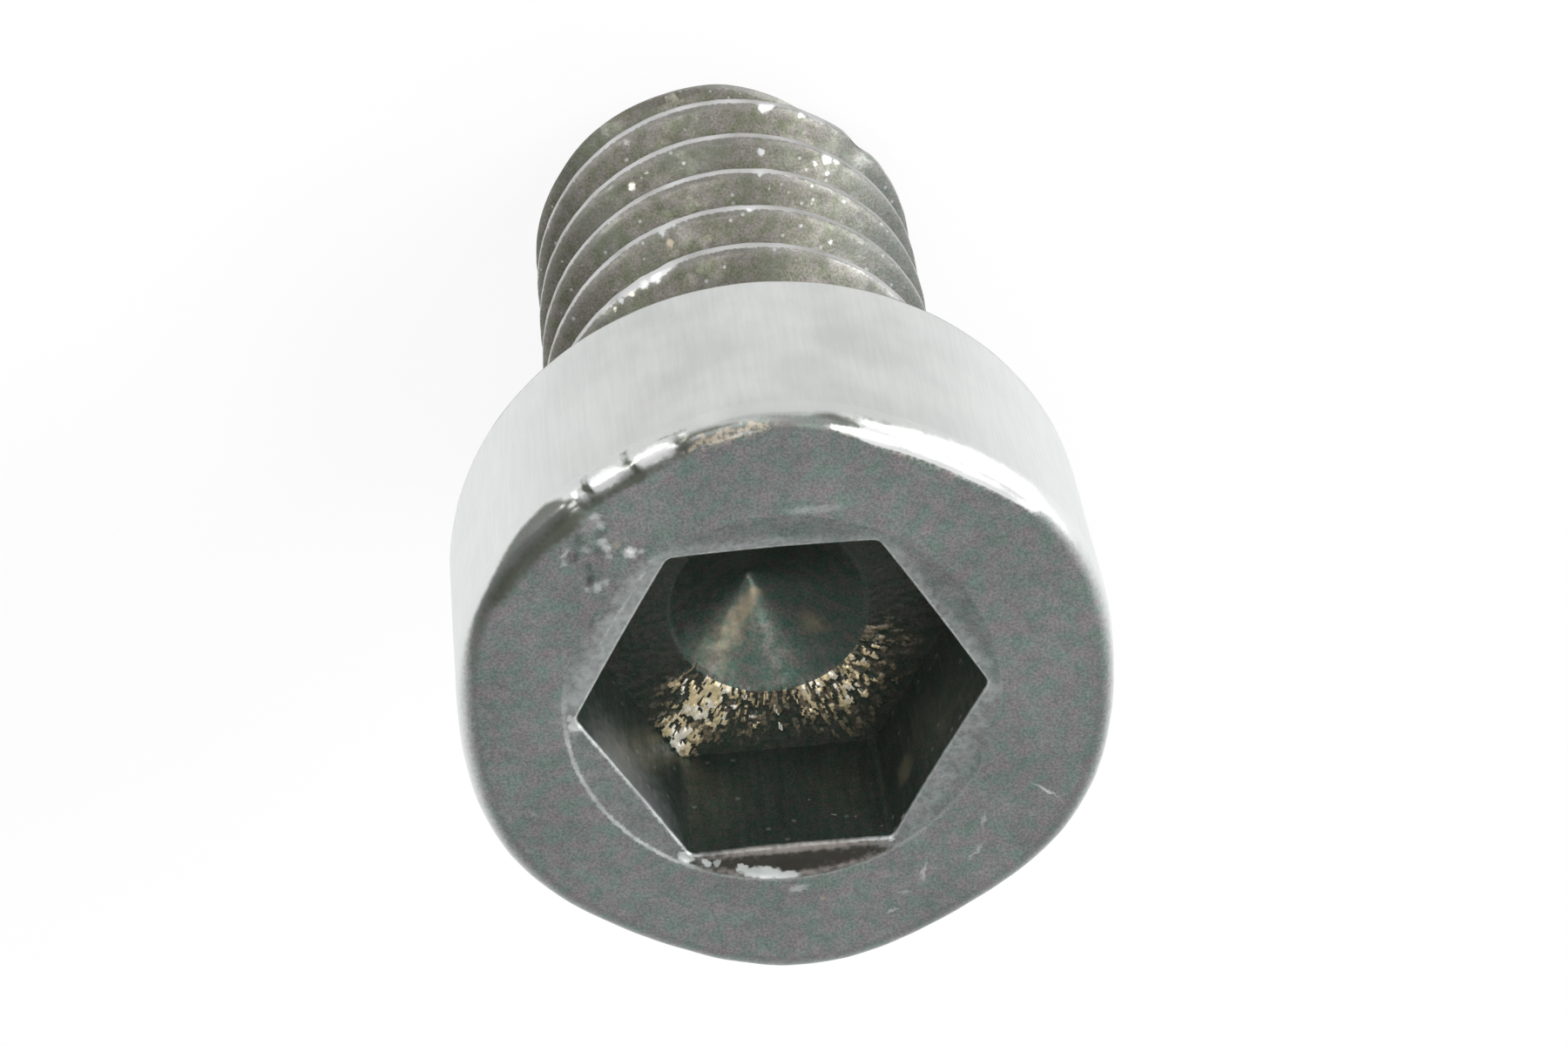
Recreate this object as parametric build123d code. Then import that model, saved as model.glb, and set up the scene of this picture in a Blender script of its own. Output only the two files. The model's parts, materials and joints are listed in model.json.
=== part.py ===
from build123d import *
import os
from math import ceil, cos, radians, sin, tan

# A thin-head hexagon-socket cap screw, in millimetres.
# It stands on its tip: the origin is the centre of the flat end, and +Z runs up the screw's axis to the head.

# Head
HEAD_DIAMETER = 9.525
HEAD_HEIGHT = 3.86
RIM_ROUND = 0.30
BEARING_EDGE_ROUND = 0.08

# Shank with its right-hand thread, a plain shoulder under the head and a small chamfer at the tip
LENGTH_UNDER_HEAD = 10.2
THREAD_DIAMETER = 6.35
THREAD_PITCH = 1.27
THREAD_ANGLE = 60.0
CREST_SHARE = 1 / 8
ROOT_SHARE = 1 / 4
THREAD_START_ANGLE = -37.7
SHOULDER_LENGTH = 0.35
SHOULDER_BEYOND_CREST = 0.05
SHOULDER_ROUND = 0.20
TIP_CHAMFER = 0.20

# Socket for a 5 mm hexagon key, with its shallow bevelled mouth and the drill's pit in the floor
SOCKET_ACROSS_FLATS = 5.10
SOCKET_DEPTH = 2.50
MOUTH_BEVEL_BEYOND_CORNERS = 0.175
MOUTH_BEVEL_ANGLE = 7.0
PIT_DIAMETER = 3.0
PIT_POINT_ANGLE = 135.0

# Worked out from the sizes above
FLANK_SLOPE = tan(radians(THREAD_ANGLE / 2))
THREAD_DEPTH = THREAD_PITCH * (1 - CREST_SHARE - ROOT_SHARE) / 2 / FLANK_SLOPE
CREST_RADIUS = THREAD_DIAMETER / 2
CLEAR_RADIUS = CREST_RADIUS + THREAD_DEPTH / 2
ROOT_RADIUS = CREST_RADIUS - THREAD_DEPTH
SHOULDER_RADIUS = CREST_RADIUS + SHOULDER_BEYOND_CREST
TIP_RADIUS = CREST_RADIUS - TIP_CHAMFER
HEAD_RADIUS = HEAD_DIAMETER / 2
BEARING_Z = LENGTH_UNDER_HEAD
TOP_Z = LENGTH_UNDER_HEAD + HEAD_HEIGHT
SOCKET_FLOOR_Z = TOP_Z - SOCKET_DEPTH
SOCKET_CORNER_RADIUS = SOCKET_ACROSS_FLATS / 2 / cos(radians(30))


def polar(radius, degrees):
    return (radius * cos(radians(degrees)), radius * sin(radians(degrees)))


def arc(radius, degrees_from, degrees_to):
    middle = (degrees_from + degrees_to) / 2
    return ThreePointArc(polar(radius, degrees_from), polar(radius, middle), polar(radius, degrees_to))


def flank(degrees_from, degrees_to, radius_from, radius_to, steps=12):
    """One flank in the cross-section, where the radius changes evenly with the angle."""
    turn = (degrees_to - degrees_from) / steps
    rise = (radius_to - radius_from) / steps
    points = [polar(radius_from + rise * step, degrees_from + turn * step) for step in range(steps + 1)]
    return Spline(*points)


def thread_section():
    """The thread's cross-section: crest arc, flank, root arc, flank. Its crest is left sharper than the
    finished one, which is trimmed to the thread's diameter."""
    sharp_height = CREST_SHARE * THREAD_PITCH / FLANK_SLOPE / 6
    sharp_radius = CREST_RADIUS + sharp_height
    crest_edge = 180 * (CREST_SHARE - 2 * sharp_height * FLANK_SLOPE / THREAD_PITCH)
    root_edge = 180 * (1 - ROOT_SHARE)
    with BuildSketch() as section:
        with BuildLine():
            arc(sharp_radius, -crest_edge, crest_edge)
            flank(crest_edge, root_edge, sharp_radius, ROOT_RADIUS)
            arc(ROOT_RADIUS, root_edge, 360 - root_edge)
            flank(360 - root_edge, 360 - crest_edge, ROOT_RADIUS, sharp_radius)
        make_face()
    return section.face()


def one_turn():
    """One pitch of right-hand thread: the cross-section twisted once round the axis, then trimmed outside."""
    sharp = Solid.extrude_linear_with_rotation(thread_section(), (0, 0, 0), (0, 0, THREAD_PITCH), 360)
    below = -THREAD_PITCH
    above = 2 * THREAD_PITCH
    return sharp & turned((0, below), (CREST_RADIUS, below), (CREST_RADIUS, above), (0, above))


def threaded_rod(top_z):
    """Single turns stacked from one pitch below the tip to past top_z."""
    turn = Rot(0, 0, THREAD_START_ANGLE) * one_turn()
    count = ceil(top_z / THREAD_PITCH) + 1
    turns = [Pos(0, 0, THREAD_PITCH * (step - 1)) * turn for step in range(count + 1)]
    return turns[0] + turns[1:]


def turned(*outline):
    """The solid that an outline of (radius, z) corners sweeps round the axis."""
    return revolve(Plane.XZ * Polygon(*outline, align=None), axis=Axis.Z)


def shank():
    """The thread, chamfered at the tip, and the shoulder, whose cone closes the thread's groove."""
    inside_head_z = BEARING_Z + HEAD_HEIGHT / 8
    shoulder_z = BEARING_Z - SHOULDER_LENGTH
    inside_radius = ROOT_RADIUS - THREAD_DEPTH / 4
    thread_outline = turned(
        (0, 0),
        (TIP_RADIUS, 0),
        (CLEAR_RADIUS, CLEAR_RADIUS - TIP_RADIUS),
        (CLEAR_RADIUS, shoulder_z),
        (0, shoulder_z),
    )
    shoulder = turned(
        (0, shoulder_z - SHOULDER_RADIUS + inside_radius),
        (inside_radius, shoulder_z - SHOULDER_RADIUS + inside_radius),
        (SHOULDER_RADIUS, shoulder_z),
        (SHOULDER_RADIUS, inside_head_z),
        (0, inside_head_z),
    )
    return (thread_outline & threaded_rod(shoulder_z)) + shoulder


def head():
    """The round head, with a rounded rim and a small break on the bearing edge."""
    disc = turned((0, BEARING_Z), (HEAD_RADIUS, BEARING_Z), (HEAD_RADIUS, TOP_Z), (0, TOP_Z))
    disc = fillet(ring_edge(disc, HEAD_RADIUS, TOP_Z), RIM_ROUND)
    return fillet(ring_edge(disc, HEAD_RADIUS, BEARING_Z), BEARING_EDGE_ROUND)


def ring_edge(solid, radius, z):
    """The round edge of this radius at this height."""
    rings = solid.edges().filter_by(GeomType.CIRCLE)
    return rings.filter_by(lambda ring: abs(ring.radius - radius) < 1e-4 and abs(ring.center().Z - z) < 1e-4)


def cone_down(radius, point_angle):
    """A cone with its round face up at z = 0 and its point below."""
    depth = radius / tan(radians(point_angle / 2))
    return Rot(180, 0, 0) * Cone(radius, 0, depth, align=(Align.CENTER, Align.CENTER, Align.MIN))


def socket():
    """The hollow for the key: hexagon, bevel at the mouth and pit in the floor. Two corners lie on X."""
    bevel_radius = SOCKET_CORNER_RADIUS + MOUTH_BEVEL_BEYOND_CORNERS
    hexagon = Pos(0, 0, SOCKET_FLOOR_Z) * extrude(RegularPolygon(SOCKET_CORNER_RADIUS, 6), 2 * SOCKET_DEPTH)
    bevel = Pos(0, 0, TOP_Z) * cone_down(bevel_radius, 180 - 2 * MOUTH_BEVEL_ANGLE)
    pit = Pos(0, 0, SOCKET_FLOOR_Z) * cone_down(PIT_DIAMETER / 2, PIT_POINT_ANGLE)
    return hexagon + bevel + pit


def screw():
    """One solid, as it is forged, turned and rolled."""
    body = head() + shank()
    body = fillet(ring_edge(body, SHOULDER_RADIUS, BEARING_Z), SHOULDER_ROUND)
    return body - socket()


os.makedirs("parts", exist_ok=True)
export_step(screw(), "parts/screw.step")
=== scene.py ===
"""A thin-head hexagon-socket cap screw: one closed mesh with its wear and some painted light and shade, and a
material for each zone.
"""

import json
from math import cos, pi, radians, sin, tan

import bpy
import numpy as np
from mathutils import Matrix, Vector, kdtree, noise


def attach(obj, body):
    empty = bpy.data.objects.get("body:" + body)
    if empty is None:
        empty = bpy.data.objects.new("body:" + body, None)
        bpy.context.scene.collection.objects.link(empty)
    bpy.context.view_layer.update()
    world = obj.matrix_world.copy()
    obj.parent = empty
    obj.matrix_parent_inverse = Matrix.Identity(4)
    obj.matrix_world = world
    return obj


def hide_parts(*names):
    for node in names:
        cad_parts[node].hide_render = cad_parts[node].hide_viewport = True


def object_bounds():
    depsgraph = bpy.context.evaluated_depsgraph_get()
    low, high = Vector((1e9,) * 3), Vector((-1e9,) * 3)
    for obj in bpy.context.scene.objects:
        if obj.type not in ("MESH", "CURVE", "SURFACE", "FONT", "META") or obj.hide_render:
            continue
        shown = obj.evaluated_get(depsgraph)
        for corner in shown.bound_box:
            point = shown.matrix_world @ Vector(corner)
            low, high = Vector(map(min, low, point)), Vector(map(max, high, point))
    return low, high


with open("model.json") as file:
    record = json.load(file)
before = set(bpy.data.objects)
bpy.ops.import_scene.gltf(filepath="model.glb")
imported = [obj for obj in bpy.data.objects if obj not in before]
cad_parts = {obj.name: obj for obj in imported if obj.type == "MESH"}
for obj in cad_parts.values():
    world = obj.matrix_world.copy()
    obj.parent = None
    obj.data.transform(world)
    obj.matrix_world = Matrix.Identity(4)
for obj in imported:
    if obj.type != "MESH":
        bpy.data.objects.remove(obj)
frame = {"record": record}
cad_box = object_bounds()
mounts = {mount["name"]: mount for mount in frame["record"]["mounts"]}

# Sizes in millimetres, the overall ones from the frame
MM = 0.001
TOP_Z = cad_box[1].z / MM
HEAD_RADIUS = mounts["head_side"]["dims"]["r_mm"]
BEARING_Z = mounts["bearing_face"]["pos_m"][2] / MM
CREST_RADIUS = mounts["thread"]["dims"]["r_mm"]
RIM_ROUND = 0.30
RIM_LOBE = 0.0113
RIM_SWELLS = ((93, 22, 0.065), (140, 18, 0.030))  # angle, half width, height
BEARING_EDGE_ROUND = 0.08

PITCH = 1.27
THREAD_START = radians(-37.7)
CREST_HALF = PITCH / 16
ROOT_HALF = PITCH / 8
FLANK_SLOPE = tan(radians(30))
ROOT_RADIUS = CREST_RADIUS - (PITCH / 2 - CREST_HALF - ROOT_HALF) / FLANK_SLOPE
TIP_RADIUS = CREST_RADIUS - 0.20
SHOULDER_RADIUS = CREST_RADIUS + 0.05
SHOULDER_Z = BEARING_Z - 0.35
SHOULDER_ROUND = 0.20

# Over how much the thread's corners are rounded
CREST_SOFT = 0.012
ROOT_SOFT = 0.12
CHAMFER_SOFT = 0.03
SHOULDER_SOFT = 0.08

SOCKET_FLATS = 5.12
SOCKET_CORNER_ROUND = 0.16
SOCKET_CENTRE = (0.086, -0.010)
SOCKET_FLOOR_Z = TOP_Z - 2.50
MOUTH_RADIUS = 3.12
MOUTH_SLOPE = tan(radians(7))
MOUTH_EDGE_ROUND = 0.05
MOUTH_RIM_HALF = 0.012
PIT_RADIUS = 1.50
PIT_DEPTH = 0.86
PIT_POINT_OFF = (0.24, -0.09)

# Mesh fineness: angles round the head, half as many round the side and the thread, and rings in each zone
FINE = 480
PIT_RINGS = 14
FLOOR_RINGS = 26
WALL_SHARES = (0.02, 0.06, 0.12, 0.2, 0.3, 0.4, 0.5, 0.6, 0.7, 0.8, 0.88, 0.94, 0.98, 1.0)
MOUTH_TURNS = (radians(25), radians(55))
MOUTH_SHARES = (0.0, 0.05, 0.12, 0.22, 0.38, 0.55, 0.72, 0.86, 0.95, 1.0)
FACE_RINGS = 32
RIM_RINGS = 12
SIDE_RINGS = 14
BEARING_EDGE_RINGS = 4
BEARING_RINGS = 8
FILLET_RINGS = 6
CREST_ROWS = (0, CREST_HALF - 0.008, CREST_HALF + 0.006)
FLANK_ROWS = (0.13, 0.20, 0.28, 0.36, 0.43, 0.49)
TIP_SHARES = (0.97, 0.85, 0.6, 0.3)

ZONES = ("pit", "torn_floor", "socket_wall", "mouth", "face", "rim", "side", "underside", "thread", "tip")


class Skin:
    """Points and faces of the closed mesh, added ring by ring from the socket's pit to the tip."""

    def __init__(self):
        self.points = np.zeros((0, 3))
        self.point_zones = []
        self.faces = []
        self.zones = []

    def add(self, points, zone):
        first = len(self.points)
        self.points = np.vstack([self.points, points])
        self.point_zones += [zone] * len(points)
        return np.arange(first, len(self.points))

    def ring(self, angles, radius, z, zone, centre=(0.0, 0.0)):
        x = centre[0] + radius * np.cos(angles)
        y = centre[1] + radius * np.sin(angles)
        return self.add(np.column_stack([x, y, np.broadcast_to(z, x.shape)]), zone)

    def within(self, *zones):
        """1 at the points of these zones and 0 elsewhere."""
        return np.isin(self.point_zones, zones).astype(float)

    def face(self, corners, zone):
        """A face, without the corners that fall together, unless too few are left."""
        corners = tuple(dict.fromkeys(int(corner) for corner in corners))
        if len(corners) > 2:
            self.faces.append(corners)
            self.zones.append(ZONES.index(zone))

    def band(self, last, ring, zone):
        """A band between two rings, the second of as many points or half as many. Returns the second."""
        if len(ring) < len(last):
            self.halve(last, ring, zone)
        else:
            for here, there in zip(range(len(last)), np.roll(range(len(last)), -1)):
                self.face((last[here], ring[here], ring[there], last[there]), zone)
        return ring

    def halve(self, fine, coarse, zone):
        """A band between a ring and one with half as many points."""
        for k in range(len(coarse)):
            here, mid, there = fine[2 * k], fine[2 * k + 1], fine[(2 * k + 2) % len(fine)]
            low, low_next = coarse[k], coarse[(k + 1) % len(coarse)]
            self.face((here, low, mid), zone)
            self.face((mid, low, low_next), zone)
            self.face((mid, low_next, there), zone)

    def point(self, place, count, zone):
        """One point, repeated as a ring."""
        return np.full(count, self.add([place], zone)[0])


def shares(count):
    """Even steps up to 1, without 0."""
    return np.linspace(0, 1, count + 1)[1:]


def bell(value, middle, half_width, power=2):
    """1 at the middle, falling off to each side."""
    return np.exp(-(((value - middle) / half_width) ** power))


def soft_least(a, b, width):
    """The lesser of two, with the corner between them rounded over this width."""
    share = np.clip(0.5 + 0.5 * (b - a) / width, 0, 1)
    return b + (a - b) * share - width * share * (1 - share)


def soft_most(a, b, width):
    return -soft_least(-a, -b, width)


def hexagon_radius(angles):
    """The socket's outline from its centre, with rounded corners; two corners lie on X."""
    apothem = SOCKET_FLATS / 2
    off_flat = np.abs(angles % (pi / 3) - pi / 6)
    straight = apothem / np.cos(off_flat)
    arc_centre = (apothem - SOCKET_CORNER_ROUND) / cos(pi / 6)
    off_corner = pi / 6 - off_flat
    reach = SOCKET_CORNER_ROUND**2 - (arc_centre * np.sin(off_corner)) ** 2
    rounded = arc_centre * np.cos(off_corner) + np.sqrt(np.maximum(reach, 0))
    on_arc = apothem * np.tan(off_flat) > (apothem - SOCKET_CORNER_ROUND) * tan(pi / 6)
    return np.where(on_arc, rounded, straight)


def lobed(radius, angles, share):
    """The head's outline: drawn in over the socket's corners, with two larger swells."""
    swell = -radius * RIM_LOBE * np.cos(6 * angles)
    for degrees, half_width, height in RIM_SWELLS:
        away = (np.degrees(angles) - degrees + 180) % 360 - 180
        swell = swell + height * bell(away, 0, half_width)
    return radius + share * swell


def off_crest(angles, z):
    """How far along the axis a place is from the middle of the nearest crest."""
    along = z - PITCH * (angles - THREAD_START) / (2 * pi)
    return np.abs((along + PITCH / 2) % PITCH - PITCH / 2)


def thread_radius(angles, z):
    """The thread's surface, with the chamfer at the tip and the shoulder's cone under the head."""
    flank = CREST_RADIUS - (off_crest(angles, z) - CREST_HALF) / FLANK_SLOPE
    radius = soft_most(soft_least(flank, CREST_RADIUS, CREST_SOFT), ROOT_RADIUS, ROOT_SOFT)
    radius = soft_least(radius, TIP_RADIUS + z, CHAMFER_SOFT)
    return soft_most(radius, SHOULDER_RADIUS - (SHOULDER_Z - z), SHOULDER_SOFT)


def mouth_height(radius):
    """Height of the bevel at the socket's mouth."""
    return TOP_Z - (MOUTH_RADIUS - radius) * MOUTH_SLOPE


def add_socket(skin, angles):
    """Pit, floor, walls and mouth. Returns the ring at the mouth's outer edge."""
    wall = hexagon_radius(angles)
    wall_top = mouth_height(wall) - MOUTH_EDGE_ROUND
    inner = wall + MOUTH_EDGE_ROUND
    rings = []
    for share in shares(FLOOR_RINGS):
        rings.append(("torn_floor", PIT_RADIUS + (wall - PIT_RADIUS) * share, SOCKET_FLOOR_Z))
    for share in WALL_SHARES:
        rings.append(("socket_wall", wall, SOCKET_FLOOR_Z + (wall_top - SOCKET_FLOOR_Z) * share))
    for turn in MOUTH_TURNS:
        z = wall_top + MOUTH_EDGE_ROUND * sin(turn)
        rings.append(("mouth", wall + MOUTH_EDGE_ROUND * (1 - cos(turn)), z))
    for share in MOUTH_SHARES:
        radius = inner + (MOUTH_RADIUS - inner) * share
        rings.append(("mouth", radius, mouth_height(radius)))
    last = add_pit(skin, angles)
    for zone, radius, z in rings:
        last = skin.band(last, skin.ring(angles, radius, z, zone, SOCKET_CENTRE), zone)
    return last


def add_pit(skin, angles):
    """The drill's cone, whose point lies off its centre. Returns its rim."""
    apex = (*np.add(SOCKET_CENTRE, PIT_POINT_OFF), SOCKET_FLOOR_Z - PIT_DEPTH)
    last = skin.point(apex, len(angles), "pit")
    for share in np.linspace(0.03, 1, PIT_RINGS) ** 0.8:
        centre = np.add(SOCKET_CENTRE, np.multiply(PIT_POINT_OFF, 1 - share))
        z = SOCKET_FLOOR_Z - PIT_DEPTH * (1 - share)
        last = skin.band(last, skin.ring(angles, share * PIT_RADIUS, z, "pit", centre), "pit")
    return last


def add_head(skin, angles, last):
    """Face, rounded rim and side, from the mouth's edge to the ring round the bearing edge."""
    width = around(np.degrees(angles), RIM_WIDTHS)
    for share in shares(FACE_RINGS):
        radius = MOUTH_RADIUS + (lobed(HEAD_RADIUS - width, angles, 1) - MOUTH_RADIUS) * share
        centre = (SOCKET_CENTRE[0] * (1 - share), SOCKET_CENTRE[1] * (1 - share))
        last = skin.band(last, skin.ring(angles, radius, TOP_Z, "face", centre), "face")
    for turn in shares(RIM_RINGS) * pi / 2:
        radius = lobed(HEAD_RADIUS - width * (1 - sin(turn)), angles, 1)
        last = skin.band(last, skin.ring(angles, radius, TOP_Z - RIM_ROUND * (1 - cos(turn)), "rim"), "rim")
    side_top = TOP_Z - RIM_ROUND
    side_height = side_top - BEARING_Z - BEARING_EDGE_ROUND
    for share in shares(SIDE_RINGS):
        steps = angles if share < 1.5 / SIDE_RINGS else angles[::2]
        ring = skin.ring(steps, lobed(HEAD_RADIUS, steps, 1 - share), side_top - side_height * share, "side")
        last = skin.band(last, ring, "side")
    return last


def add_underside(skin, angles, last):
    """Bearing edge, bearing face, the shoulder's fillet and the shoulder."""
    rows = []
    for turn in shares(BEARING_EDGE_RINGS) * pi / 2:
        radius = HEAD_RADIUS - BEARING_EDGE_ROUND * (1 - cos(turn))
        rows.append((radius, BEARING_Z + BEARING_EDGE_ROUND * (1 - sin(turn))))
    outer = HEAD_RADIUS - BEARING_EDGE_ROUND
    inner = SHOULDER_RADIUS + SHOULDER_ROUND
    rows += [(outer + (inner - outer) * share, BEARING_Z) for share in shares(BEARING_RINGS)]
    for turn in shares(FILLET_RINGS) * pi / 2:
        rows.append((inner - SHOULDER_ROUND * sin(turn), BEARING_Z - SHOULDER_ROUND * (1 - cos(turn))))
    rows.append((SHOULDER_RADIUS, SHOULDER_Z))
    for radius, z in rows:
        last = skin.band(last, skin.ring(angles, radius, z, "underside"), "underside")
    return last


def add_thread(skin, angles, last):
    """The thread from the shoulder to the tip, on rows that follow the helix."""
    half = np.array(CREST_ROWS + FLANK_ROWS)
    offsets = np.concatenate([half, [PITCH / 2], PITCH - half[:0:-1]])
    pitches = int(SHOULDER_Z / PITCH) + 3
    first_crest = PITCH * (pitches - 1 - THREAD_START / (2 * pi))
    steps = len(angles)
    rows = np.concatenate([first_crest - PITCH * turn - offsets for turn in range(pitches + 1)])
    z = rows[None, :] + PITCH * np.arange(steps)[:, None] / steps
    all_angles = np.broadcast_to(angles[:, None], z.shape)
    inside = (z > 0) & (z < SHOULDER_Z)
    radius = thread_radius(all_angles, z)
    foot = skin.ring(angles, thread_radius(angles, 0.0), 0.0, "thread")
    index = np.where(z >= SHOULDER_Z, last[:, None], foot[:, None])
    x, y = radius * np.cos(all_angles), radius * np.sin(all_angles)
    index[inside] = skin.add(np.column_stack([x[inside], y[inside], z[inside]]), "thread")
    seam = np.concatenate([np.full(len(offsets), last[0]), index[0, : -len(offsets)]])
    index = np.vstack([index, seam])
    for here, there in zip(index[:-1], index[1:]):
        for corners in zip(here[:-1], here[1:], there[1:], there[:-1]):
            skin.face(corners, "thread")
    return foot


def add_tip(skin, angles, last):
    """The flat end."""
    for share in TIP_SHARES:
        ring = skin.ring(angles, thread_radius(angles, 0.0) * share, 0.0, "tip")
        last = skin.band(last, ring, "tip")
    skin.band(last, skin.point((0.0, 0.0, 0.0), len(angles), "tip"), "tip")


def build_skin():
    skin = Skin()
    angles = np.arange(FINE) * 2 * pi / FINE
    last = add_socket(skin, angles)
    last = add_head(skin, angles, last)
    last = add_underside(skin, angles[::2], last)
    last = add_thread(skin, angles[::2], last)
    add_tip(skin, angles[::2], last)
    return skin


def polar_point(degrees, radius, z=TOP_Z):
    """A place by its angle and radius round the axis, on the head's face where no height is given."""
    return np.array([radius * cos(radians(degrees)), radius * sin(radians(degrees)), z])


def ring_heading(degrees):
    """The direction round the axis at this angle."""
    return np.array([-sin(radians(degrees)), cos(radians(degrees)), 0.0])


def crest_z(degrees, turn):
    return PITCH * (turn + (radians(degrees) - THREAD_START) / (2 * pi))


def around(degrees, rows, column=1):
    """A value given at some angles round the axis, which changes evenly between them."""
    return np.interp(degrees, [row[0] for row in rows], [row[column] for row in rows], period=360)


def lumps(points, size, seed=0.0, octaves=3):
    """Smooth noise from about -1 to 1, with features of about this size in millimetres."""
    shift = Vector((seed, 2 * seed, -seed))
    return np.array([noise.fractal(Vector(p) / size + shift, 1.0, 2.0, octaves) for p in points])


def patch(points, centre, size, length=None, heading=None):
    """1 at the centre, fading out over this size, or over this length along the heading."""
    away = points - centre
    square = (away**2).sum(axis=1)
    if heading is not None:
        square += (away @ heading) ** 2 * ((size / length) ** 2 - 1)
    return np.exp(-square / size**2)


# Shine of the socket's top edge and of the mouth's outer edge, by angle: bare metal of the worn edge with a
# painted highlight
INNER_SHINE = (
    (-180, 0.45), (-165, 0.60), (-120, 0.50), (-90, 0.30), (-60, 0.45), (-30, 0.60), (0, 0.80),
    (30, 0.50), (57, 0.60), (64, 0.15), (105, 0.15), (118, 0.45), (126, 0.20), (150, 0.00),
)
OUTER_SHINE = (
    (-180, 0.05), (-120, 0.00), (-60, 0.00), (-15, 0.00), (0, 0.30), (8, 0.75), (30, 0.60), (55, 1.00),
    (66, 0.25), (100, 0.15), (125, 0.25), (150, 0.05),
)

# How light or dark the band beside the socket's top edge is, and how wide in millimetres, by angle
MOUTH_TONE = (
    (-180, 0.50), (-165, 0.65), (-150, 0.40), (-125, 0.50), (-110, 0.35), (-90, 0.60), (-62, 0.60),
    (-55, 0.75), (-5, 0.70), (8, 0.05), (55, 0.05), (68, -0.85), (90, -1.00), (112, -0.85),
    (124, 0.30), (160, 0.45),
)
MOUTH_BAND = (
    (-180, 0.22), (-130, 0.18), (-110, 0.14), (-90, 0.20), (-62, 0.22), (-50, 0.42), (0, 0.42), (10, 0.9),
    (115, 0.9), (130, 0.40), (165, 0.40),
)

# How torn the socket's floor is, by angle, and by how far it is from the pit to the wall
FLOOR_TORN = (
    (-180, 0.10), (-120, 0.00), (-60, 0.00), (15, 0.00), (34, 0.15), (42, 0.95), (66, 1.00), (74, 0.85),
    (88, 0.75), (96, 0.85), (112, 1.00), (140, 0.90), (152, 0.60), (170, 0.25),
)
TORN_OUTWARD = (0, 0.3, 0.55, 0.75, 1.0), (0.85, 1.0, 0.70, 0.40, 0.10)

# How many flakes there are, and how far from the socket's centre they reach
FLAKE_COUNT = 3800
FLAKE_REACH = 2.95

# Single bright flakes there, whose brightness is torn bare metal with a painted glint: angle, radius,
# brightness
FLAKES = (
    (106.5, 1.60, 1.0), (110.5, 1.58, 1.0), (114.5, 1.60, 1.0), (112.5, 1.66, 0.9),
    (74.4, 1.62, 0.9), (86.0, 1.60, 0.75), (79.6, 1.95, 1.0), (81.0, 2.10, 0.8), (90.0, 1.85, 0.9),
    (91.5, 2.15, 1.0), (97.0, 1.65, 0.7), (128.0, 1.65, 1.0), (127.0, 1.95, 0.95), (132.0, 2.05, 0.8),
    (141.8, 1.75, 0.9), (146.0, 1.80, 0.8), (151.0, 1.75, 0.7), (120.5, 2.13, 0.8), (111.3, 2.13, 0.7),
)

# Marks across the rim's round: angle, place from the face (0) to the side (1), half sizes, strength. The bare
# marks are worn bright metal with a painted highlight of the lamps on it; the dark marks are dark wear
# together with a painted dark reflection, most of all the broad band from -63 to -24 degrees; the warm marks
# are a tan tint.
RIM_MARKS = {
    "bare": (
        (-59.6, 0.42, 3.2, 0.26, 1.3),
        (-53.9, 0.50, 1.3, 0.25, 0.6),
        (-69.2, 0.36, 4.0, 0.24, 1.2),
        (-78.5, 0.02, 3.0, 0.10, 0.45),
        (-84.5, 0.05, 3.5, 0.16, 0.50),
        (-103.0, 0.20, 4.0, 0.10, 0.8),
        (-109.0, 0.18, 4.5, 0.20, 1.3),
        (-116.0, 0.30, 5.5, 0.31, 1.6),
        (-125.0, 0.36, 6.0, 0.36, 2.0),
        (-133.0, 0.40, 6.0, 0.36, 2.0),
        (-139.0, 0.42, 3.2, 0.34, 1.3),
        (-64.3, 0.40, 1.1, 0.55, -0.7),
        (-56.2, 0.45, 1.1, 0.40, -0.6),
    ),
    "dark": (
        (-118.4, 0.12, 1.5, 0.12, 1.2),
        (-64.3, 0.40, 1.0, 0.50, 1.0),
        (-56.2, 0.45, 1.1, 0.35, 1.0),
        (-74.6, 0.30, 1.6, 0.35, 0.7),
        (-63.0, -0.03, 12.0, 0.17, 0.8),
        (-48.5, -0.10, 4.5, 0.35, 0.9),
        (-40.0, -0.05, 6.0, 0.30, 0.8),
        (-31.0, 0.05, 6.0, 0.28, 0.8),
        (-80.0, 0.42, 5.0, 0.08, 0.8),
        (-92.5, 0.16, 6.0, 0.28, 0.45),
        (-102.0, 0.46, 4.5, 0.09, 0.8),
        (-108.5, 0.62, 4.0, 0.07, 0.7),
        (-114.0, 0.80, 5.0, 0.05, 0.4),
        (-72.0, 0.68, 3.0, 0.06, 0.5),
        (-60.0, 0.80, 5.0, 0.06, 0.4),
        (-24.0, 0.30, 7.0, 0.16, 0.35),
    ),
    "warm": (
        (-78.0, 0.10, 4.0, 0.25, 0.8),
        (-86.0, 0.12, 5.0, 0.28, 0.8),
        (-103.0, 0.05, 4.0, 0.12, 0.5),
        (-116.0, -0.08, 7.0, 0.10, 0.7),
        (-125.0, -0.08, 5.0, 0.10, 0.5),
    ),
}

# How smoothly polished the rim is, by angle
RIM_POLISH = (
    (-180, 0.00), (-143, 0.05), (-138, 1.00), (-106, 1.00), (-100, 0.50), (-80, 0.50), (-75, 1.00),
    (-50, 1.00), (-46, 0.80), (-20, 0.50), (-8, 0.00), (150, 0.00),
)

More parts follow.
